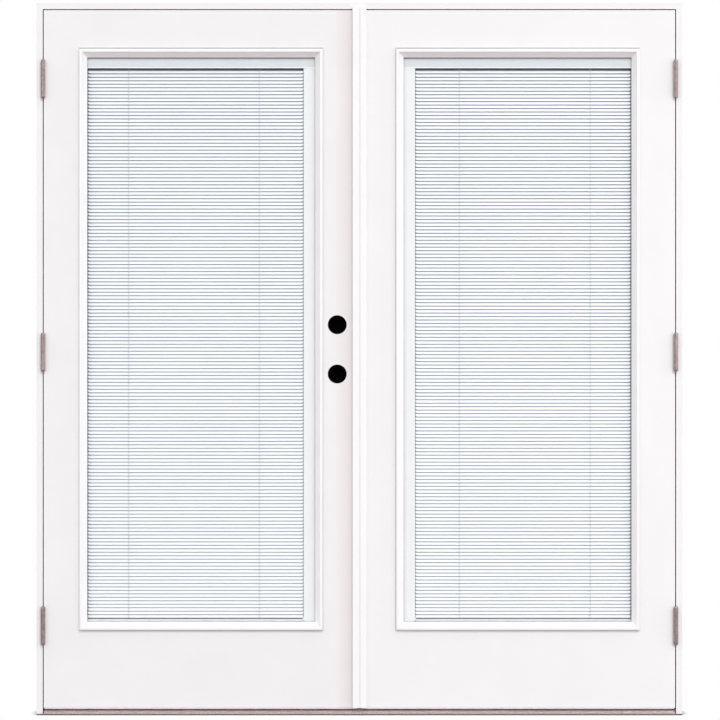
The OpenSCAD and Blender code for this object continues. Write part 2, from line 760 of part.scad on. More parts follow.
// Two cords in front of and behind the slats, a rung under each slat but the lowest, which lies on
// the bottom rail, and a lift cord beside them
module ladders() {
    reach = slat_w / 2 * cos(slat_tilt) + seat;
    drop = slat_t + 0.6;
    for (x = ladder_xs) {
        along_x(x - cord_t / 2, x + cord_t / 2) {
            for (s = [-1, 1])
                rect([cavity_mid + s * (reach + cord_t / 2) - cord_t / 2, slats_bottom],
                     [cavity_mid + s * (reach + cord_t / 2) + cord_t / 2, head_z0]);
            for (i = [0 : slat_n - 2])
                polygon([
                    for (c = [[-1, 0], [1, 0], [1, 1], [-1, 1]])
                        let (y = c[0] * (reach + cord_t / 2))
                        let (under = drop + 0.5 * c[1])
                        [cavity_mid + y, slat_z(i) + y * tan(slat_tilt) - under / cos(slat_tilt)]
                ]);
        }
        box([x + cord_side - cord_t / 2, cavity_mid - cord_t / 2, slats_bottom],
            [x + cord_side + cord_t / 2, cavity_mid + cord_t / 2, head_z0]);
    }
}

module bottom_rail()
    along_x(slat_x0, slat_x1) polygon([
        [cavity_mid - 5, bottom_rail_z], [cavity_mid + 5, bottom_rail_z],
        [cavity_mid + 6, bottom_rail_z + 1.5], [cavity_mid + 6, slats_bottom - 2],
        [cavity_mid + 3, slats_bottom], [cavity_mid - 3, slats_bottom],
        [cavity_mid - 6, slats_bottom - 2], [cavity_mid - 6, bottom_rail_z + 1.5]
    ]);

// A handle on the glass, and the magnet block that follows it inside the channel
module slider(z, h) {
    half = slider_w / 2;
    difference() {
        along_z(z, z + h) polygon([
            [slider_x - half, glass_y1 + seat], [slider_x + half, glass_y1 + seat],
            [slider_x + half, glass_y1 + slider_t - 2], [slider_x + half - 2, glass_y1 + slider_t],
            [slider_x - half + 2, glass_y1 + slider_t], [slider_x - half, glass_y1 + slider_t - 2]
        ]);
        for (i = [-1, 0, 1])
            box([slider_x - half - over, glass_y1 + slider_t - 0.8, z + h / 2 + i * 6 - 1],
                [slider_x + half + over, glass_y1 + slider_t + over, z + h / 2 + i * 6 + 1]);
    }
    box([channel_x0 + channel_wall + seat, cavity_y0 + seat + channel_wall + seat, z + 4],
        [channel_x1 - channel_wall - seat, cavity_y1 - seat, z + h - 4]);
}

module lift_slider() slider(lift_slider_z, lift_slider_h);
module tilt_slider() slider(tilt_slider_z, tilt_slider_h);

// ---- Meeting edges ----

// A strip from x0 to x1 with a rounded outside edge at x0
module astragal(x0, x1) {
    r = 3.5;
    along_z(door_z0, door_z1 + astragal_rise) {
        rect([x0, face_y - astragal_t + r], [x0 + r, face_y]);
        rect([x0 + r, face_y - astragal_t], [x1, face_y]);
        intersection() {
            translate([x0 + r, face_y - astragal_t + r]) circle(r = r);
            rect([x0, face_y - astragal_t], [x0 + r, face_y - astragal_t + r]);
        }
    }
}

module bolt(end) {
    tip_z = door_z0 + bolt_rest;
    translate([0, 0, end * (door_z0 + door_z1)]) mirror([0, 0, end]) {
        rod_z(tip_z, tip_z + bolt_l, bolt_x, mid_y, bolt_d / 2);
        box([bolt_x, mid_y - tab_w / 2, door_z0 + tab_from_tip + 1],
            [edge_x(mid_y) - 3, mid_y + tab_w / 2, door_z0 + tab_from_tip + tab_h + 1]);
    }
}

module meeting_seal()
    color(white) to_right() along_z(door_z0 + seat, door_z1 - seat) polygon([
        [edge_x(face_y + 0.6), face_y + 0.6], [-door_x1 - seat - 1, face_y + 0.6],
        [-door_x1 - seat, face_y + 2], [-door_x1 - seat, face_y + 4.6],
        [-door_x1 - seat - 1, face_y + 6], [edge_x(face_y + 6), face_y + 6]
    ]);

module left_hinge_stile() color(wood) hinge_stile();
module left_lock_stile() color(wood) active_lock_stile();
module left_lock_block() color(wood) lock_block();
module left_rails() color(wood) rails();
module left_core() color(foam) core(true);
module left_outer_skin() color(white) skin(face_y, skin_y0, true);
module left_inner_skin() color(white) skin(skin_y1, back_y, true);
module left_outer_lite_frame() color(white) outer_lite_frame();
module left_inner_lite_frame() color(white) inner_lite_frame();
module left_lite_screws() color(nickel) lite_screws();
module left_outer_pane() color([0.8, 0.9, 0.9, 0.3]) outer_pane();
module left_inner_pane() color([0.8, 0.9, 0.9, 0.3]) inner_pane();
module left_spacer() color(blind_white) spacer();
module left_head_rail() color(blind_white) head_rail();
module left_side_channel() color(blind_white) side_channel();
module left_slats() color(blind_white) slats();
module left_ladders() color(blind_white) ladders();
module left_bottom_rail() color(blind_white) bottom_rail();
module left_lift_slider() color(white) lift_slider();
module left_tilt_slider() color(white) tilt_slider();
module left_hinge_leaves() color(nickel) door_hinge_leaves();
module left_hinge_screws() color(nickel) door_hinge_screws();
module left_sweep() color(dark) sweep(false);
module left_astragal() color(white) astragal(-astragal_w / 2, astragal_split - astragal_gap / 2);

module right_hinge_stile() color(wood) to_right() hinge_stile();
module right_lock_stile() color(wood) to_right() passive_lock_stile();
module right_rails() color(wood) to_right() rails();
module right_core() color(foam) to_right() core(false);
module right_outer_skin() color(white) to_right() skin(face_y, skin_y0, false);
module right_inner_skin() color(white) to_right() skin(skin_y1, back_y, false);
module right_outer_lite_frame() color(white) to_right() outer_lite_frame();
module right_inner_lite_frame() color(white) to_right() inner_lite_frame();
module right_lite_screws() color(nickel) to_right() lite_screws();
module right_outer_pane() color([0.8, 0.9, 0.9, 0.3]) to_right() outer_pane();
module right_inner_pane() color([0.8, 0.9, 0.9, 0.3]) to_right() inner_pane();
module right_spacer() color(blind_white) to_right() spacer();
module right_head_rail() color(blind_white) to_right() head_rail();
module right_side_channel() color(blind_white) to_right() side_channel();
module right_slats() color(blind_white) to_right() slats();
module right_ladders() color(blind_white) to_right() ladders();
module right_bottom_rail() color(blind_white) to_right() bottom_rail();
module right_lift_slider() color(white) to_right() lift_slider();
module right_tilt_slider() color(white) to_right() tilt_slider();
module right_hinge_leaves() color(nickel) to_right() door_hinge_leaves();
module right_hinge_screws() color(nickel) to_right() door_hinge_screws();
module right_sweep() color(dark) to_right() sweep(true);
module right_astragal() color(white) to_right()
    astragal(-astragal_w / 2, -astragal_split - astragal_gap / 2);
module top_bolt() color(nickel) to_right() bolt(1);
module bottom_bolt() color(nickel) to_right() bolt(0);

head_jamb();
left_jamb();
right_jamb();
threshold();
threshold_seal();
weatherstrips();
jamb_hinge_leaves();
jamb_hinge_screws();
hinge_pins();
bolt_strikes();
left_hinge_stile();
left_lock_stile();
left_lock_block();
left_rails();
left_core();
left_outer_skin();
left_inner_skin();
left_outer_lite_frame();
left_inner_lite_frame();
left_lite_screws();
left_outer_pane();
left_inner_pane();
left_spacer();
left_head_rail();
left_side_channel();
left_slats();
left_ladders();
left_bottom_rail();
left_lift_slider();
left_tilt_slider();
left_hinge_leaves();
left_hinge_screws();
left_sweep();
left_astragal();
right_hinge_stile();
right_lock_stile();
right_rails();
right_core();
right_outer_skin();
right_inner_skin();
right_outer_lite_frame();
right_inner_lite_frame();
right_lite_screws();
right_outer_pane();
right_inner_pane();
right_spacer();
right_head_rail();
right_side_channel();
right_slats();
right_ladders();
right_bottom_rail();
right_lift_slider();
right_tilt_slider();
right_hinge_leaves();
right_hinge_screws();
right_sweep();
right_astragal();
meeting_seal();
top_bolt();
bottom_bolt();
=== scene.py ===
"""Looks for a double outswing patio door with blinds between its panes of glass.

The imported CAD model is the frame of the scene. Metres: X runs across the unit, Y from outside (-)
to inside (+) and Z up. "Left" and "right" are seen from outside.
"""
import json
import math

import bmesh
import bpy
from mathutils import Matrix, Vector


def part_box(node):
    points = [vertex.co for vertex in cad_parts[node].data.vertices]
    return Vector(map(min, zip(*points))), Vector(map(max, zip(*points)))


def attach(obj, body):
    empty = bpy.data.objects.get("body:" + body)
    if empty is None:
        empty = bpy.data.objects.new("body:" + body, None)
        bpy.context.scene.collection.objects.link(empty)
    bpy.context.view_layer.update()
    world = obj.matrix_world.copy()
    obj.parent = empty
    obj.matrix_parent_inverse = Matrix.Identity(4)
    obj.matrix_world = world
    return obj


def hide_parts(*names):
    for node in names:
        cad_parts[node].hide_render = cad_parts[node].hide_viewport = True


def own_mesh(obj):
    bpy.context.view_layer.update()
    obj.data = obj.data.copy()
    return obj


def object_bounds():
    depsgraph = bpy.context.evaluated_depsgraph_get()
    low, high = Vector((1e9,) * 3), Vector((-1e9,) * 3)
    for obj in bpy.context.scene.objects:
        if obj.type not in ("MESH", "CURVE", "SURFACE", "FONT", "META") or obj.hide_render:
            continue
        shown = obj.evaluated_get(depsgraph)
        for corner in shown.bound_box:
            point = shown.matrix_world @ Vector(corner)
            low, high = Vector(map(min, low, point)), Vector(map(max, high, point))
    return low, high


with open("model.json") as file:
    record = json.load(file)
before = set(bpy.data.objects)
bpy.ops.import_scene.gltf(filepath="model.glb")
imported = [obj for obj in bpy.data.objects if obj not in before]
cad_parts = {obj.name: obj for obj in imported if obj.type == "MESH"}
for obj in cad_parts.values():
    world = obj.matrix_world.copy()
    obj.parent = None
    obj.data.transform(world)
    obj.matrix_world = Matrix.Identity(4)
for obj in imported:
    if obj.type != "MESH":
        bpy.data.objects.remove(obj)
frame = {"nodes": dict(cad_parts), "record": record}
nodes = frame["nodes"]
cad_low, cad_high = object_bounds()
SIDES = ("left", "right")
MM = 0.001
SEAT = 0.2 * MM            # how far a small piece stands off, or sinks in, where it seats

# Blind, as the CAD model has it
SLAT_W = 12.7 * MM
SLAT_T = 0.3 * MM
SLAT_CROWN = 1.0 * MM
SLAT_PITCH = 9.84 * MM
SLAT_TILT = math.radians(62)
SLAT_RISE = SLAT_W * math.sin(SLAT_TILT)
SLAT_CUTS = 8              # straight steps across a slat's curve
END_ROUND = 4.6 * MM       # rounding of a slat's four corners
ROUTE_W = 3 * MM           # hole for the lift cord
END_GAP = 1.1 * MM         # between the slats and the spacer at the hinge side
SLAT_SHADE_ATTRIBUTE = "slat_shade"        # point attribute for the slats' painted shade: -1 at a slat's open edge, 1 at its covered edge
CORD_R = 0.45 * MM
LIFT_CORD_R = 0.4 * MM
CORD_SIDE = 3 * MM         # from a ladder to the lift cord beside it

# Lite frame: section as (share of the face's width, height above the door's face, corner radius)
GLASS_LAP = 5.5 * MM
LITE_SECTION = [
    (0.000, 0.0, 0.0), (0.000, 8.6, 2.2), (0.375, 9.0, 1.2), (0.440, 5.6, 0.5),
    (0.960, -6.1, 0.5), (1.000, -6.6, 0.3), (1.000, -9.55, 0.0), (0.800, -9.55, 0.0),
    (0.800, -5.0, 0.0), (0.710, -3.0, 0.0), (0.390, -3.0, 0.0), (0.390, 0.0, 0.0),
]
ROUND_STEPS = 4

GLASS_GLOSS = 0.015        # share of light that one face of glass reflects, seen square on

# Dark bead round a lite frame: a real seal, widest at the top, where it also paints the shadow line at
# the frame's outer edge
BEAD_SIDE = 0.5 * MM
BEAD_TOP = 3.0 * MM
BEAD_BOTTOM = 0.3 * MM
BEAD_H = 1.2 * MM

# Glazing gasket, as far as it shows past a lite frame: a real seal, whose wide top strip is painted shade
# for the dark line under the frame's top
GASKET_SIDE = 0.4 * MM
GASKET_TOP = 1.7 * MM
GASKET_BOTTOM = 0.6 * MM
GASKET_H = 1.0 * MM

# Lip along the bottom of a head rail, a painted highlight in the brighter housing plastic
LIP_H = 3.0 * MM
LIP_T = 0.4 * MM

# Dark bead along the foot of the threshold: a real sealing bead that also paints the shadow under the
# nose
SILL_BEAD_IN = 1.0 * MM
SILL_BEAD_D = 1.6 * MM
SILL_BEAD_H = 3.4 * MM
SILL_BEAD_ROUND = 0.3 * MM

# Painted shadow: dark line between the lowest slat and the bottom rail
RAIL_SHADOW_DOWN = 1.2 * MM
RAIL_SHADOW_UP = 1.8 * MM

# Painted shade: black strips behind the slats' ends and top, standing for the unlit gaps
GAP_SHADE_T = 0.4 * MM
GAP_SHADE_OVER = 2.6 * MM
LOCK_OVER = 0.6 * MM       # past the slats' ends at the lock side

# Painted shade: black discs in the lockset bores, standing for their unlit inside
BORE_SHADE_DEPTH = 6 * MM
BORE_SHADE_T = 1.5 * MM


# ---- Node materials ----

class Finish:
    """A Principled material, with short calls for the nodes that most finishes share."""

    def __init__(self, name, colour, roughness, **sockets):
        self.material = bpy.data.materials.new(name)
        self.material.use_nodes = True
        self.tree = self.material.node_tree
        self.shader = self.tree.nodes["Principled BSDF"]
        self.place = self.tree.nodes.new("ShaderNodeTexCoord").outputs["Object"]
        self.normal = None
        self.shader.inputs["Base Color"].default_value = (*colour, 1)
        self.shader.inputs["Roughness"].default_value = roughness
        for socket, value in sockets.items():
            self.shader.inputs[socket.replace("_", " ")].default_value = value

    def add(self, kind, inputs=(), **settings):
        """A node with its settings, and its inputs as (name or number, value or output)."""
        node = self.tree.nodes.new(kind)
        for key, value in settings.items():
            setattr(node, key, value)
        for key, value in inputs:
            self.feed(node.inputs[key], value)
        return node

    def feed(self, socket, value):
        if isinstance(value, bpy.types.NodeSocket):
            self.tree.links.new(value, socket)
        else:
            socket.default_value = value

    def stretched(self, stretch):
        """Object coordinates scaled along each axis, so that a pattern runs along the small one."""
        mapping = self.add("ShaderNodeMapping", [("Vector", self.place), ("Scale", stretch)])
        return mapping.outputs["Vector"]

    def noise(self, scale, detail=3.0, stretch=(1, 1, 1), distortion=0.0):
        """Noise whose grains are about 1/scale metres apart."""
        node = self.add("ShaderNodeTexNoise", [
            ("Vector", self.stretched(stretch)), ("Scale", scale), ("Detail", detail),
            ("Distortion", distortion)])
        return node.outputs["Fac"]

    def ramp(self, value, low, high, start=0.3, end=0.7):
        """value, from start to end, mapped to low to high, which may be numbers or colours."""
        if isinstance(low, (int, float)):
            node = self.add("ShaderNodeMapRange", [
                ("Value", value), ("From Min", start), ("From Max", end),
                ("To Min", low), ("To Max", high)])
            return node.outputs["Result"]
        node = self.add("ShaderNodeValToRGB", [("Fac", value)])
        first, last = node.color_ramp.elements
        first.position, last.position = start, end
        first.color, last.color = (*low, 1), (*high, 1)
        return node.outputs["Color"]

    def blend(self, factor, a, b, mode="MIX"):
        node = self.add("ShaderNodeMix", data_type="RGBA", blend_type=mode)
        self.feed(node.inputs[0], factor)
        for socket, value in ((node.inputs[6], a), (node.inputs[7], b)):
            self.feed(socket, value if isinstance(value, bpy.types.NodeSocket) else (*value, 1))
        return node.outputs[2]

    def maths(self, operation, a, b):
        node = self.add("ShaderNodeMath", [(0, a), (1, b)], operation=operation)
        return node.outputs["Value"]

    def colour(self, output):
        self.feed(self.shader.inputs["Base Color"], output)

    def rough(self, output):
        self.feed(self.shader.inputs["Roughness"], output)

    def bump(self, height, depth, strength=1.0):
        """Relief of depth metres. A second call adds to the first."""
        node = self.add("ShaderNodeBump", [
            ("Height", height), ("Distance", depth), ("Strength", strength)])
        if self.normal is not None:
            self.feed(node.inputs["Normal"], self.normal)
        self.normal = node.outputs["Normal"]
        self.feed(self.shader.inputs["Normal"], self.normal)


def shade(colour, factor):
    return tuple(c * factor for c in colour)


def painted(name, colour, roughness=0.42, mottle=0.012, grain=0.03 * MM, painted_shadow_edge=None):
    """Factory paint: faint slow mottling, a fine orange peel and slightly uneven gloss.

    painted_shadow_edge is where along X a slow warm shade, a painted shadow cast on the paint, starts and
    where it is full."""
    f = Finish(name, colour, roughness, Specular_IOR_Level=0.45)
    slow = f.noise(9, 4, distortion=0.4)
    fine = f.noise(260, 3)
    tint = f.ramp(slow, shade(colour, 1 - mottle), shade(colour, 1 + mottle))
    warm = (colour[0], colour[1] * 0.985, colour[2] * 0.99)
    paint = f.blend(f.ramp(fine, 0.0, 0.55, 0.45, 0.75), tint, warm)
    # painted shadow: the paint darkens and warms towards the lock edge
    if painted_shadow_edge:
        across = f.add("ShaderNodeSeparateXYZ", [(0, f.place)]).outputs["X"]
        near = f.ramp(across, 0.0, 1.0, *painted_shadow_edge)
        paint = f.blend(near, paint, tuple(c * w for c, w in zip(colour, PAINTED_SHADOW_TINT)))
    f.colour(paint)
    f.rough(f.ramp(f.noise(45, 3), roughness - 0.06, roughness + 0.06))
    f.bump(f.noise(700, 2), grain, 0.35)
    return f.material


def moulded_plastic(name, colour, roughness=0.36):
    """Injection-moulded plastic: an even tone with a fine spark-eroded texture."""
    f = Finish(name, colour, roughness, Specular_IOR_Level=0.5)
    f.colour(f.ramp(f.noise(14, 3), shade(colour, 0.985), shade(colour, 1.01)))
    f.rough(f.ramp(f.noise(120, 2), roughness - 0.05, roughness + 0.07))
    f.bump(f.noise(1500, 2), 0.02 * MM, 0.4)
    return f.material


def brushed_nickel(name, colour, along=2, roughness=0.34):
    """Satin plated metal: fine lines along one axis, and dulled patches."""
    f = Finish(name, colour, roughness, Metallic=1.0)
    stretch = [1.0, 1.0, 1.0]
    stretch[along] = 0.04
    lines = f.noise(1500, 2, stretch=tuple(stretch))
    patches = f.noise(160, 4)
    plated = f.ramp(lines, shade(colour, 0.88), shade(colour, 1.08))
    f.colour(f.blend(f.ramp(patches, 0.0, 0.8, 0.38, 0.64), plated, shade(colour, 0.62)))
    worn = f.ramp(patches, roughness - 0.04, roughness + 0.1)
    f.rough(f.maths("ADD", f.ramp(lines, -0.05, 0.08), worn))
    f.bump(lines, 0.015 * MM, 0.5)
    return f.material


def mill_aluminium(name, colour):
    """Anodised extrusion: die lines along X, scuffs, and a slightly warm cast."""
    f = Finish(name, colour, 0.42, Metallic=1.0)
    lines = f.noise(1800, 3, stretch=(0.01, 1, 1))
    scuffs = f.noise(35, 5, stretch=(0.5, 1, 1), distortion=1.2)
    grit = f.noise(330, 4)
    tint = f.ramp(lines, shade(colour, 0.86), shade(colour, 1.1))
    worn = f.blend(f.ramp(scuffs, 0.0, 0.7, 0.5, 0.75), tint, shade(colour, 0.72))
    f.colour(f.blend(f.ramp(grit, 0.0, 0.7, 0.45, 0.62), worn, shade(colour, 0.6)))
    f.rough(f.ramp(scuffs, 0.34, 0.6))
    f.bump(lines, 0.02 * MM, 0.6)
    return f.material


def clear_glass(name):
    """Thin float glass: a little of the light is held back, and more is mirrored near edge-on."""
    f = Finish(name, (0.72, 0.82, 0.80), 0.03, Specular_IOR_Level=0.5, Alpha=1.0)
    f.rough(f.ramp(f.noise(6, 2), 0.02, 0.05))
    see = f.add("ShaderNodeBsdfTransparent", [("Color", (0.970, 0.976, 0.979, 1))])
    edge_on = f.add("ShaderNodeLayerWeight", [("Blend", 0.5)]).outputs["Facing"]
    gloss = f.ramp(f.maths("POWER", edge_on, 5.0), GLASS_GLOSS, 1.0, 0.0, 1.0)
    mirror = f.add("ShaderNodeBsdfAnisotropic", [("Color", (0.96, 0.99, 0.985, 1)), ("Roughness", 0.03)])
    mixed = f.add("ShaderNodeMixShader", [(0, gloss), (1, see.outputs[0]),
                                          (2, mirror.outputs[0])])
    f.feed(f.tree.nodes["Material Output"].inputs["Surface"], mixed.outputs[0])
    return f.material


def slat_enamel(name, colour):
    """Baked enamel on thin slats: satin, with a roll texture along them. A painted shade darkens each
    slat's covered edge, for the shadow and unlit gap between slats.
    """
    f = Finish(name, colour, 0.34, Specular_IOR_Level=0.5)
    roll = f.noise(900, 2, stretch=(0.03, 1, 1))
    slat_shade = f.add("ShaderNodeAttribute", attribute_name=SLAT_SHADE_ATTRIBUTE).outputs["Fac"]
    # painted shade: the dark band is weaker lower down and full towards the top
    height = f.add("ShaderNodeSeparateXYZ", [(0, f.place)]).outputs["Z"]
    depth = f.ramp(height, 0.8, 1.0, 0.3, 1.7)
    enamel = f.ramp(f.noise(3, 4), shade(colour, 0.97), shade(colour, 1.01))
    f.colour(f.blend(f.maths("MULTIPLY", f.ramp(slat_shade, 0.0, 1.0, 0.04, 0.30), depth), enamel,
                     (0.25, 0.27, 0.30)))
    f.rough(f.ramp(roll, 0.3, 0.42))
    f.bump(roll, 0.01 * MM, 0.4)
    return f.material


def braided_cord(name, colour):
    """Polyester cord: a fine braid that runs round it, with painted shade in the grooves between its
    strands.
    """
    f = Finish(name, colour, 0.8, Sheen_Weight=0.3)
    wave = f.add("ShaderNodeTexWave", [("Vector", f.place), ("Scale", 420.0), ("Distortion", 2.0)],
                 bands_direction="DIAGONAL")
    # painted shade: darker in the braid's grooves, where its bump is low
    f.colour(f.ramp(wave.outputs["Fac"], shade(colour, 0.8), colour, 0.2, 0.8))
    f.bump(wave.outputs["Fac"], 0.08 * MM, 0.6)
    return f.material


def pine(name):
    """Finger-jointed pine stiles: long grain along Z, with slow rings and fine pores."""
    light, dark = (0.66, 0.49, 0.30), (0.50, 0.33, 0.17)
    f = Finish(name, light, 0.62)
    rings = f.noise(55, 4, stretch=(1, 1, 0.05), distortion=1.5)
    pores = f.noise(900, 2, stretch=(1, 1, 0.02))
    f.colour(f.blend(f.ramp(pores, 0.0, 0.35), f.ramp(rings, light, dark, 0.4, 0.68), shade(dark, 0.8)))
    f.rough(f.ramp(pores, 0.55, 0.75))
    f.bump(pores, 0.1 * MM, 0.5)
    return f.material


def foam(name, colour, cell=450.0, depth=0.35 * MM):
    """Foam: open cells as pits, each darker towards its bottom as painted shade."""
    f = Finish(name, colour, 0.9)
    cells = f.add("ShaderNodeTexVoronoi", [("Vector", f.place), ("Scale", cell)])
    pits = f.ramp(cells.outputs["Distance"], 0.0, 1.0, 0.1, 0.6)
    # painted shade: the colour darkens towards the bottom of each pit
    f.colour(f.ramp(pits, shade(colour, 0.82), colour, 0.0, 0.7))
    f.bump(pits, depth, 0.7)
    return f.material


def vinyl(name, colour, roughness=0.55):
    """Flexible extruded vinyl, with drag lines along it and a dusty bloom."""
    f = Finish(name, colour, roughness, Specular_IOR_Level=0.35)
    bloom = f.noise(70, 4)
    f.colour(f.ramp(bloom, colour, tuple(min(1.0, c * 1.35 + 0.01) for c in colour), 0.4, 0.8))
    f.rough(f.ramp(bloom, roughness - 0.08, roughness + 0.15))
    f.bump(f.noise(1100, 2, stretch=(0.2, 1, 1)), 0.05 * MM, 0.4)
    return f.material


def unlit_shade_finish(name):
    """Painted shade: near-black for unlit insides, of a lockset bore and of the gaps behind the slats."""
    f = Finish(name, (0.002, 0.002, 0.002), 1.0, Specular_IOR_Level=0.0)
    f.colour(f.ramp(f.noise(120, 2), (0.001, 0.001, 0.001), (0.003, 0.003, 0.003)))
    return f.material


# ---- Finishes ----

# Painted shadow that the astragal casts on the left leaf: its tint, and how far from the lock edge it
# reaches
PAINTED_SHADOW_TINT = (0.86, 0.80, 0.80)
PAINTED_SHADOW_REACH = 66 * MM
WHITE = (0.780, 0.777, 0.781)
BRIGHT = (0.830, 0.824, 0.828)
# Painted shade: the left leaf gets a darker copy of the door paint, standing for the lesser light on it
SHADED = (0.765, 0.757, 0.761)
NICKEL = (0.40, 0.325, 0.325)
FRAME_WHITE = (0.772, 0.766, 0.771)
finishes = {
    "frame_paint": painted("frame_paint", FRAME_WHITE),
    "sill_aluminium": mill_aluminium("sill_aluminium", (0.72, 0.61, 0.605)),
    "dark_vinyl": vinyl("dark_vinyl", (0.10, 0.085, 0.085)),
    "white_foam_seal": foam("white_foam_seal", (0.72, 0.71, 0.69), 700.0, 0.1 * MM),
    "satin_nickel": brushed_nickel("satin_nickel", NICKEL),
    "stile_wood": pine("stile_wood"),
    "foam_core": foam("foam_core", (0.80, 0.72, 0.46)),
    "lite_frame_plastic": moulded_plastic("lite_frame_plastic", BRIGHT),
    "zinc_screw": brushed_nickel("zinc_screw", (0.66, 0.66, 0.67), along=0, roughness=0.3),
    "clear_glass": clear_glass("clear_glass"),
    "spacer_metal": mill_aluminium("spacer_metal", (0.70, 0.70, 0.71)),
    "blind_housing": moulded_plastic("blind_housing", (0.885, 0.89, 0.89), 0.4),
    "blind_slat": slat_enamel("blind_slat", (0.875, 0.885, 0.92)),
    "blind_cord": braided_cord("blind_cord", (0.50, 0.52, 0.54)),
    "slider_plastic": moulded_plastic("slider_plastic", (0.84, 0.83, 0.83), 0.4),
    "astragal_paint": painted("astragal_paint", BRIGHT, roughness=0.38),
}
lock_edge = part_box("left_outer_skin")[1].x
skins = {
    # The left leaf's paint carries the astragal's painted shadow along its lock edge
    "left": painted("left_door_skin", SHADED, mottle=0.016,
                    painted_shadow_edge=(lock_edge - PAINTED_SHADOW_REACH, lock_edge)),
    "right": painted("right_door_skin", WHITE, mottle=0.012),
}
shade_black = unlit_shade_finish("unlit_shade_finish")
# dark bead round the lite frames: a real seal that also paints their shadow line
sealant = foam("sealant", (0.25, 0.25, 0.245), 900.0, 0.05 * MM)
# dark vinyl for the glazing gaskets, the sill bead and the painted shadow above the bottom rails
gasket = vinyl("gasket", (0.11, 0.09, 0.09))
sweep_vinyl = vinyl("sweep_vinyl", (0.88, 0.81, 0.80))
# Painted shade: a darker copy of the housing plastic for the head rails, which sit in the frame's shade
rail_housing = moulded_plastic("rail_housing", (0.74, 0.77, 0.785), 0.4)


def finish_node(name, node):
    """Gives a CAD node the finish of its record slot, or its own shade of it."""
    slot = node.material_slots[0].material.name.split(".")[0]
    if slot == "door_skin":
        made = skins[name.split("_")[0]]
    elif name.endswith("_sweep"):
        made = sweep_vinyl
    else:
        made = finishes[slot]
    for holder in node.material_slots:
        holder.material = made


def soften(node, width, angle=30):
    """Rounds a CAD node's arrises and evens its normals, with modifiers only."""
    weld = node.modifiers.new("weld", "WELD")
    weld.merge_threshold = 0.005 * MM
    bevel = node.modifiers.new("bevel", "BEVEL")
    bevel.width = width
    bevel.segments = 3
    bevel.limit_method = "ANGLE"
    bevel.angle_limit = math.radians(angle)
    bevel.use_clamp_overlap = True
    node.modifiers.new("normals", "WEIGHTED_NORMAL").keep_sharp = False


# ---- Mesh helpers ----

def new_piece(name, mesh_data, slot, body, material=None, crease=35):
    """A piece from (points, faces) that rides on a CAD body. Edges over crease degrees stay sharp."""
    points, faces = mesh_data
    mesh = bpy.data.meshes.new(name)
    mesh.from_pydata(points, [], faces)
    mesh.validate()
    piece = bpy.data.objects.new(name, mesh)
    bpy.context.scene.collection.objects.link(piece)
    mesh.materials.append(material or finishes[slot])
    work = bmesh.new()
    work.from_mesh(mesh)
    bmesh.ops.recalc_face_normals(work, faces=work.faces)
    for face in work.faces:
        face.smooth = True
    for edge in work.edges:
        edge.smooth = len(edge.link_faces) == 2 and edge.calc_face_angle(0) < math.radians(crease)
    work.to_mesh(mesh)
    work.free()
    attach(piece, body)
    return piece


def join_parts(parts):
    """One (points, faces) from several."""
    points, faces = [], []
    for more_points, more_faces in parts:
        start = len(points)
        points += more_points
        faces += [[start + i for i in face] for face in more_faces]
    return points, faces


def loft(rings, closed=False, capped=True):
    """Skins rings of points, all with the same count, into one surface."""
    n = len(rings[0])
    points = [p for ring in rings for p in ring]
    pairs = [(k, k + 1) for k in range(len(rings) - 1)]
    if closed:
        pairs.append((len(rings) - 1, 0))
    faces = [[a * n + i, a * n + (i + 1) % n, b * n + (i + 1) % n, b * n + i]
             for a, b in pairs for i in range(n)]
    if capped and not closed:
        faces += [list(range(n)), [len(points) - 1 - i for i in range(n)]]
    return points, faces


def plate(x0, x1, y0, y1, z0, z1):
    """A box that is lofted along Y."""
    return loft([[(x0, y, z0), (x1, y, z0), (x1, y, z1), (x0, y, z1)] for y in (y0, y1)])


def bar(x0, x1, outline):
    """A straight bar along X with an outline of (y, z)."""
    return loft([[(x, y, z) for y, z in outline] for x in (x0, x1)])


def rounded_outline(corners, steps=ROUND_STEPS):
    """A closed outline of (x, y, radius) corners, each rounded by an arc-like curve."""
    outline = []
    n = len(corners)
    for i, (x, y, radius) in enumerate(corners):
        if radius <= 0:
            outline.append((x, y))
            continue
        here = Vector((x, y))
        before = Vector(corners[i - 1][:2]) - here
        after = Vector(corners[(i + 1) % n][:2]) - here
        start = here + before.normalized() * min(radius, before.length * 0.45)
        end = here + after.normalized() * min(radius, after.length * 0.45)
        for k in range(steps + 1):
            t = k / steps
            p = start * (1 - t) ** 2 + here * 2 * t * (1 - t) + end * t ** 2
            outline.append((p.x, p.y))
    return outline


def tube(path, radius, sides=6):
    """A round tube along a path that doesn't turn sharply."""
    rings = []
    for i, point in enumerate(path):
        ahead = path[min(i + 1, len(path) - 1)] - path[max(i - 1, 0)]
        side = Vector((1, 0, 0)) if abs(ahead.normalized().x) < 0.9 else Vector((0, 0, 1))
        up = ahead.normalized().cross(side).normalized()
        side = up.cross(ahead.normalized())
        rings.append([tuple(point + (side * math.cos(a) + up * math.sin(a)) * radius)
                      for a in (2 * math.pi * k / sides for k in range(sides))])
    return loft(rings)


# ---- Blind ----

def slat_curve(s):
    """Height of a slat's upper face above its edges, s from -1 to 1 across it."""
    return SLAT_CROWN * (1 - s * s)


def slat_stations(x0, x1, holes):
    """Places along a slat where its outline changes, as (x, share of the full width)."""
    ends = [(0.0, 0.42), (0.12, 0.62), (0.4, 0.83), (0.7, 0.95), (1.0, 1.0)]
    start = [(x0 + END_ROUND * d, w) for d, w in ends]
    stop = [(x1 - END_ROUND * d, w) for d, w in reversed(ends)]
    middle = [(h + d * ROUTE_W / 2, 1.0) for h in holes for d in (-1, 1)]
    return start + sorted(middle) + stop


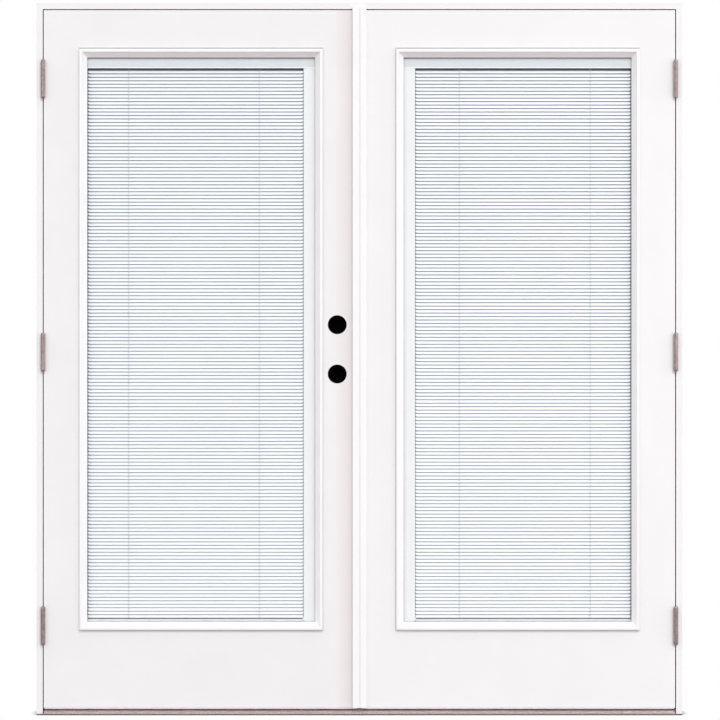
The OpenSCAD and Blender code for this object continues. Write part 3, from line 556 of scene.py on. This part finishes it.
def slat_mesh(x0, x1, holes, centre_y, centre_z):
    """One crowned slat, tilted with its outside edge down, with a hole for each lift cord."""
    stations = slat_stations(x0, x1, holes)
    cross = [-1 + 2 * i / SLAT_CUTS for i in range(SLAT_CUTS + 1)]
    cos_t, sin_t = math.cos(SLAT_TILT), math.sin(SLAT_TILT)
    points = []
    for x, share in stations:
        for under in (0.0, SLAT_T):
            for s in cross:
                u = s * SLAT_W / 2 * share
                v = slat_curve(s * share) - under
                points.append((x, centre_y + u * cos_t - v * sin_t, centre_z + u * sin_t + v * cos_t))
    row = 2 * (SLAT_CUTS + 1)
    middle = (SLAT_CUTS // 2 - 1, SLAT_CUTS // 2)
    faces = []
    for k in range(len(stations) - 1):
        a, b = k * row, (k + 1) * row
        mid_x = (stations[k][0] + stations[k + 1][0]) / 2
        hole = any(abs(mid_x - h) < ROUTE_W / 4 for h in holes)
        for i in range(SLAT_CUTS):
            if hole and i in middle:
                continue
            for c in (0, SLAT_CUTS + 1):
                faces.append([a + c + i, a + c + i + 1, b + c + i + 1, b + c + i])
        if hole:
            c = SLAT_CUTS + 1
            for i in (middle[0], middle[1] + 1):
                faces.append([a + i, b + i, b + c + i, a + c + i])
            for r in (a, b):
                for i in middle:
                    faces.append([r + i, r + i + 1, r + c + i + 1, r + c + i])
        for i in (0, SLAT_CUTS):
            c = SLAT_CUTS + 1
            faces.append([a + i, b + i, b + c + i, a + c + i])
    for r in (0, (len(stations) - 1) * row):
        c = SLAT_CUTS + 1
        for i in range(SLAT_CUTS):
            faces.append([r + i, r + i + 1, r + c + i + 1, r + c + i])
    return points, faces


def mark_slat_shade(slats, count):
    """Stores how far across its slat each point of the upper face lies, for the painted shade at the
    covered edge. The lower face gets none.
    """
    cross = [-1 + 2 * i / SLAT_CUTS for i in range(SLAT_CUTS + 1)]
    stations = len(slats.data.vertices) // (count * 2 * len(cross))
    values = (cross + [-1.0] * len(cross)) * stations * count
    slats.data.attributes.new(SLAT_SHADE_ATTRIBUTE, "FLOAT", "POINT").data.foreach_set("value", values)


def ladder_places(side):
    """X of a blind's two ladders, read from the CAD ladders' outermost cords."""
    low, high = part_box(side + "_ladders")
    if side == "left":
        return low.x + LIFT_CORD_R, high.x - LIFT_CORD_R - CORD_SIDE
    return low.x + LIFT_CORD_R + CORD_SIDE, high.x - LIFT_CORD_R


def make_blind(side):
    """A blind's slats and cords."""
    low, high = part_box(side + "_slats")
    centre_y = (low.y + high.y) / 2
    count = round((high.z - low.z - SLAT_RISE) / SLAT_PITCH) + 1
    heights = [high.z - SLAT_RISE / 2 - i * SLAT_PITCH for i in range(count)]
    outward = 1 if side == "left" else -1
    ladders = ladder_places(side)
    holes = [x + outward * CORD_SIDE for x in ladders]
    x0, x1 = (low.x + END_GAP, high.x) if side == "left" else (low.x, high.x - END_GAP)
    slats = new_piece(side + "_blind_slats", join_parts(
        slat_mesh(x0, x1, holes, centre_y, z) for z in heights), "blind_slat", side + "_door")
    mark_slat_shade(slats, count)
    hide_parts(side + "_slats")
    cords = new_piece(side + "_blind_cords", blind_cords(side, ladders, holes, centre_y, heights),
                      "blind_cord", side + "_door")
    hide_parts(side + "_ladders")
    for piece, top in ((slats, high.z), (cords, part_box(side + "_head_rail")[0].z)):
        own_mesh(piece)


def blind_cords(side, ladders, holes, centre_y, heights):
    """Ladder strings that touch each slat's edges, two rungs under it, and the lift cords."""
    reach = SLAT_W / 2 * math.cos(SLAT_TILT) + CORD_R
    rise = SLAT_RISE / 2
    low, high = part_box(side + "_ladders")
    parts = []
    for x in ladders:
        for s in (-1, 1):
            path = [Vector((x, centre_y + s * reach, high.z))]
            for z in heights:
                path.append(Vector((x, centre_y + s * (reach + 0.25 * MM), z + s * rise)))
                path.append(Vector((x, centre_y + s * (reach - 0.5 * MM), z + s * rise - SLAT_PITCH / 2)))
            path.append(Vector((x, centre_y + s * reach, low.z)))
            path = [p for i, p in enumerate(path) if i == 0 or p.z < path[i - 1].z - 0.1 * MM]
            parts.append(tube(path, CORD_R, 5))
        for z in heights:
            ends = [Vector((x, centre_y + s * reach, z + s * rise - 0.9 * MM)) for s in (-1, 1)]
            parts.append(tube(ends, CORD_R * 0.7, 4))
    for x in holes:
        parts.append(tube([Vector((x, centre_y, high.z)), Vector((x, centre_y, low.z))], LIFT_CORD_R, 6))
    return join_parts(parts)


# ---- Lite frames ----

def ring_of(low, high, widths, face, out, outline):
    """A mitred ring from an outline of (share of each side's width, height above the face)."""
    rings = []
    for t, v in outline:
        x0, z0 = low.x + t * widths[0], low.z + t * widths[1]
        x1, z1 = high.x - t * widths[2], high.z - t * widths[3]
        y = face + out * v
        rings.append([(x0, y, z0), (x1, y, z0), (x1, y, z1), (x0, y, z1)])
    return loft(rings, closed=True)


def make_lite_frame(side, place):
    """A ring with rounded lips on a dark bead, outside or inside the door. The bead and the glazing
    gasket are real seals whose wide top strips are painted shade.
    """
    node = f"{side}_{place}_lite_frame"
    low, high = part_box(node)
    glass_low, glass_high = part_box(side + "_outer_pane")
    skin_low, skin_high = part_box(f"{side}_{place}_skin")
    face, out = (skin_low.y, -1) if place == "outer" else (skin_high.y, 1)
    sight_low = glass_low + Vector((GLASS_LAP, 0, GLASS_LAP))
    sight_high = glass_high - Vector((GLASS_LAP, 0, GLASS_LAP))
    lip_low = low + Vector((BEAD_SIDE, 0, BEAD_BOTTOM))
    lip_high = high - Vector((BEAD_SIDE, 0, BEAD_TOP))
    widths = (sight_low.x - lip_low.x, sight_low.z - lip_low.z, lip_high.x - sight_high.x,
              lip_high.z - sight_high.z)
    scale = widths[0]
    outline = [(u / scale, v) for u, v in rounded_outline(
        [(share * scale, v * MM, r * MM) for share, v, r in LITE_SECTION])]
    ring = new_piece(f"{side}_{place}_lite_ring", ring_of(lip_low, lip_high, widths, face, out, outline),
                     "lite_frame_plastic", side + "_door", crease=32)
    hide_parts(node)
    beads = (BEAD_SIDE, BEAD_BOTTOM, BEAD_SIDE, BEAD_TOP)
    profile = [(0.0, 0.0), (0.15, BEAD_H), (1.0, BEAD_H), (1.0, 0.0)]
    new_piece(f"{side}_{place}_lite_bead", ring_of(low, high, beads, face, out, profile),
              "white_foam_seal", side + "_door", material=sealant)
    shown = (GASKET_SIDE, GASKET_BOTTOM, GASKET_SIDE, GASKET_TOP)
    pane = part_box(f"{side}_{place}_pane")[0 if place == "outer" else 1].y
    profile = [(-1.0, 0.0), (-1.0, GASKET_H), (1.0, GASKET_H), (1.0, 0.0)]
    new_piece(f"{side}_{place}_glazing_gasket",
              ring_of(sight_low, sight_high, shown, pane, out, profile),
              "dark_vinyl", side + "_door", material=gasket)


def make_slat_gap_shade(side):
    """Painted shade: black strips behind the ends and top of the slats, where the real gaps are unlit."""
    low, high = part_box(side + "_slats")
    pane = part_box(side + "_inner_pane")[0]
    y0, y1 = pane.y - GAP_SHADE_T - SEAT, pane.y - SEAT
    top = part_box(side + "_head_rail")[0].z
    hinge_end = (low.x - GAP_SHADE_OVER, low.x + END_GAP + END_ROUND)
    lock_end = (high.x - END_ROUND, high.x + LOCK_OVER)
    if side == "right":
        hinge_end = (high.x - END_GAP - END_ROUND, high.x + GAP_SHADE_OVER)
        lock_end = (low.x - LOCK_OVER, low.x + END_ROUND)
    bars = [(*hinge_end, low.z, top), (*lock_end, low.z, top),
            (low.x, high.x, high.z - GAP_SHADE_OVER, top)]
    parts = [plate(x0, x1, y0, y1, z0, z1) for x0, x1, z0, z1 in bars]
    new_piece(side + "_blind_gap_shade", join_parts(parts), "dark_vinyl", side + "_door",
              material=shade_black)


def make_rail_highlight_lip(side):
    """A lip along the bottom of the head rail, bright as a painted highlight; the rail, which is
    otherwise in the shade of the frame, has a darker copy of the plastic as painted shade.
    """
    low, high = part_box(side + "_head_rail")
    y0, y1 = low.y - LIP_T, low.y + LIP_T
    z0, z1 = low.z, low.z + LIP_H
    outline = rounded_outline([(y0, z0, LIP_T / 2), (y1, z0, 0), (y1, z1, 0), (y0, z1, LIP_T / 2)])
    new_piece(side + "_head_rail_highlight_lip", bar(low.x, high.x, outline), "blind_housing", side + "_door")


def make_rail_shadow(side):
    """Painted shadow: the dark line above the bottom rail. It rides on the rail, so it rises with the
    blind.
    """
    low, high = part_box(side + "_bottom_rail")
    line = plate(low.x + END_GAP, high.x - END_GAP, low.y - GAP_SHADE_T, low.y,
                 high.z - RAIL_SHADOW_DOWN, high.z + RAIL_SHADOW_UP)
    new_piece(side + "_bottom_rail_groove", line, "dark_vinyl", side + "_blind_rail", material=gasket)


# ---- Sill ----

def make_sill_bead_shadow():
    """The dark bead along the foot of the threshold: a real sealing bead, which also paints the shadow
    under the threshold's nose.
    """
    low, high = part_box("threshold")
    y0, y1 = low.y - SILL_BEAD_D, low.y + SEAT
    z0, z1 = low.z + SEAT, low.z + SILL_BEAD_H
    outline = rounded_outline([
        (y0, z0, SILL_BEAD_ROUND), (y1, z0, 0), (y1, z1, 0), (y0, z1, SILL_BEAD_ROUND)])
    new_piece("threshold_bead", bar(low.x + SILL_BEAD_IN, high.x - SILL_BEAD_IN, outline), "dark_vinyl",
              "frame", material=gasket)


# ---- Lockset bores ----

def disc(centre, radius, depth, sides=64):
    """A short solid cylinder along Y."""
    rings = [[(centre.x + radius * math.cos(a), y, centre.z + radius * math.sin(a))
              for a in (2 * math.pi * k / sides for k in range(sides))]
             for y in (centre.y, centre.y + depth)]
    return loft(rings)


def make_bore_shades():
    """Painted shade: black discs near the inside of the active door's bores, which would else show the
    far side.
    """
    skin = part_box("left_inner_skin")[0]
    for mount in frame["record"]["mounts"]:
        if mount["name"] not in ("lockset_bore", "deadbolt_bore"):
            continue
        centre = Vector((mount["pos_m"][0], skin.y - BORE_SHADE_DEPTH, mount["pos_m"][2]))
        new_piece(mount["name"] + "_shadow", disc(centre, mount["dims"]["r_mm"] * MM - SEAT, BORE_SHADE_T),
                  "stile_wood", "left_door", material=shade_black)


# ---- Studio ----

VIEW_WIDTH = 2.039         # width of the view at the doors' outside face
CAMERA_AWAY = 9.0
CAMERA_SIDE = 0.0017
CAMERA_HEIGHT = 1.0047
SENSOR = 36.0

AMBIENT_LOW = (0.405, 0.325, 0.335, 1)     # light from below and from above
AMBIENT_HIGH = (1.04, 1.06, 1.07, 1)
AMBIENT_SPREAD = 0.75      # rise of a ray at which the light from above is full
FLOOR_SIZE = 7.0
FLOOR_DROP = 0.2 * MM
CONTACT_REACH = 0.04       # how near the object has to be for the floor to darken, as a painted contact shadow
CONTACT_SHADOW_TINT = (0.12, 0.11, 0.11)

KEY_FROM = (0.22, -0.74, 0.60)
KEY_STRENGTH = 1.3
KEY_COLOUR = (1.0, 1.03, 1.03)
KEY_ANGLE = 24             # degrees
GRAZE_WATTS = 12
LEFT_FILL_WATTS = 30
RIGHT_FILL_WATTS = 18
BACK_WATTS = 170


def make_camera():
    """A level view from straight outside."""
    data = bpy.data.cameras.new("camera")
    data.sensor_width = SENSOR
    data.lens = SENSOR * CAMERA_AWAY / VIEW_WIDTH
    data.clip_end = 100
    camera = bpy.data.objects.new("camera", data)
    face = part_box("left_outer_skin")[0].y
    camera.location = (CAMERA_SIDE, face - CAMERA_AWAY, CAMERA_HEIGHT)
    camera.rotation_euler = (math.radians(90), 0, 0)
    bpy.context.scene.collection.objects.link(camera)
    bpy.context.scene.camera = camera


def area_light(name, place, target, size, watts):
    """A white panel that faces its target and isn't seen itself."""
    data = bpy.data.lights.new(name, "AREA")
    data.shape = "RECTANGLE"
    data.size, data.size_y = size
    data.energy = watts
    light = bpy.data.objects.new(name, data)
    light.location = place
    light.rotation_euler = (Vector(target) - Vector(place)).to_track_quat("-Z", "Y").to_euler()
    light.visible_camera = False
    bpy.context.scene.collection.objects.link(light)


def make_world():
    """Pure white behind the object, and soft light that comes more from above than from below."""
    world = bpy.data.worlds.new("studio")
    bpy.context.scene.world = world
    world.use_nodes = True
    tree = world.node_tree
    tree.nodes.clear()
    place = tree.nodes.new("ShaderNodeTexCoord")
    split = tree.nodes.new("ShaderNodeSeparateXYZ")
    tree.links.new(place.outputs["Generated"], split.inputs[0])
    slope = tree.nodes.new("ShaderNodeMapRange")
    slope.inputs["From Min"].default_value = -AMBIENT_SPREAD
    slope.inputs["From Max"].default_value = AMBIENT_SPREAD
    tree.links.new(split.outputs["Z"], slope.inputs["Value"])
    soft = tree.nodes.new("ShaderNodeBackground")
    tint = tree.nodes.new("ShaderNodeMix")
    tint.data_type = "RGBA"
    tree.links.new(slope.outputs["Result"], tint.inputs[0])
    tint.inputs[6].default_value = AMBIENT_LOW
    tint.inputs[7].default_value = AMBIENT_HIGH
    tree.links.new(tint.outputs[2], soft.inputs["Color"])
    white = tree.nodes.new("ShaderNodeBackground")
    white.inputs["Color"].default_value = (1, 1, 1, 1)
    rays = tree.nodes.new("ShaderNodeLightPath")
    mix = tree.nodes.new("ShaderNodeMixShader")
    tree.links.new(rays.outputs["Is Camera Ray"], mix.inputs[0])
    tree.links.new(soft.outputs[0], mix.inputs[1])
    tree.links.new(white.outputs[0], mix.inputs[2])
    out = tree.nodes.new("ShaderNodeOutputWorld")
    tree.links.new(mix.outputs[0], out.inputs["Surface"])


def make_floor():
    """A pale glowing floor with a painted contact shadow: ambient occlusion darkens it only where the
    object stands on it.
    """
    half = FLOOR_SIZE / 2
    mesh = bpy.data.meshes.new("floor")
    z = cad_low.z - FLOOR_DROP
    mesh.from_pydata([(-half, -half, z), (half, -half, z), (half, half, z), (-half, half, z)], [],
                     [(0, 1, 2, 3)])
    floor = bpy.data.objects.new("floor", mesh)
    bpy.context.scene.collection.objects.link(floor)
    f = Finish("floor", (1, 1, 1), 1.0)
    near = f.add("ShaderNodeAmbientOcclusion", [("Distance", CONTACT_REACH)], samples=16)
    glow = f.add("ShaderNodeEmission")
    shadow = f.ramp(near.outputs["AO"], CONTACT_SHADOW_TINT, (1, 1, 1), 0.35, 0.8)
    f.feed(glow.inputs["Color"], shadow)
    f.feed(f.tree.nodes["Material Output"].inputs["Surface"], glow.outputs[0])
    mesh.materials.append(f.material)
    floor.visible_diffuse = False
    floor.visible_glossy = False


def sun_light(name, direction, strength, angle, colour):
    """An even light from a direction, soft by its angle in degrees."""
    data = bpy.data.lights.new(name, "SUN")
    data.energy = strength
    data.color = colour
    data.angle = math.radians(angle)
    light = bpy.data.objects.new(name, data)
    light.rotation_euler = (-Vector(direction)).to_track_quat("-Z", "Y").to_euler()
    bpy.context.scene.collection.objects.link(light)


def light_studio():
    """A soft key from above, a low graze from the right, a fill on each side and one light behind."""
    centre = (0, 0, (cad_low.z + cad_high.z) / 2)
    sun_light("key", KEY_FROM, KEY_STRENGTH, KEY_ANGLE, KEY_COLOUR)
    area_light("graze", (3.3, -0.75, 1.9), (0.2, -0.06, 1.0), (0.7, 2.2), GRAZE_WATTS)
    area_light("left_fill", (-3.4, -3.8, 1.6), centre, (2.6, 2.6), LEFT_FILL_WATTS)
    area_light("right_fill", (3.2, -2.6, 1.1), (0.4, 0, 1.0), (1.6, 1.8), RIGHT_FILL_WATTS)
    area_light("back", (-2.4, 4.2, 3.4), centre, (2.6, 2.6), BACK_WATTS)


# ---- Assembly ----

for node_name, cad_node in nodes.items():
    finish_node(node_name, cad_node)

for node_name in ("head_jamb", "left_jamb", "right_jamb", "left_astragal", "right_astragal"):
    soften(nodes[node_name], 0.9 * MM)
for node_name in ("threshold", "left_head_rail", "right_head_rail", "left_bottom_rail",
                  "right_bottom_rail", "left_side_channel", "right_side_channel"):
    soften(nodes[node_name], 0.35 * MM)

for door in SIDES:
    make_blind(door)
    make_slat_gap_shade(door)
    make_rail_highlight_lip(door)
    make_rail_shadow(door)
    nodes[door + "_head_rail"].material_slots[0].material = rail_housing
    for face_name in ("outer", "inner"):
        make_lite_frame(door, face_name)

make_sill_bead_shadow()
make_bore_shades()
make_camera()
make_world()
light_studio()
make_floor()
bpy.context.scene.view_settings.view_transform = "Standard"
bpy.context.scene.cycles.transparent_max_bounces = 16
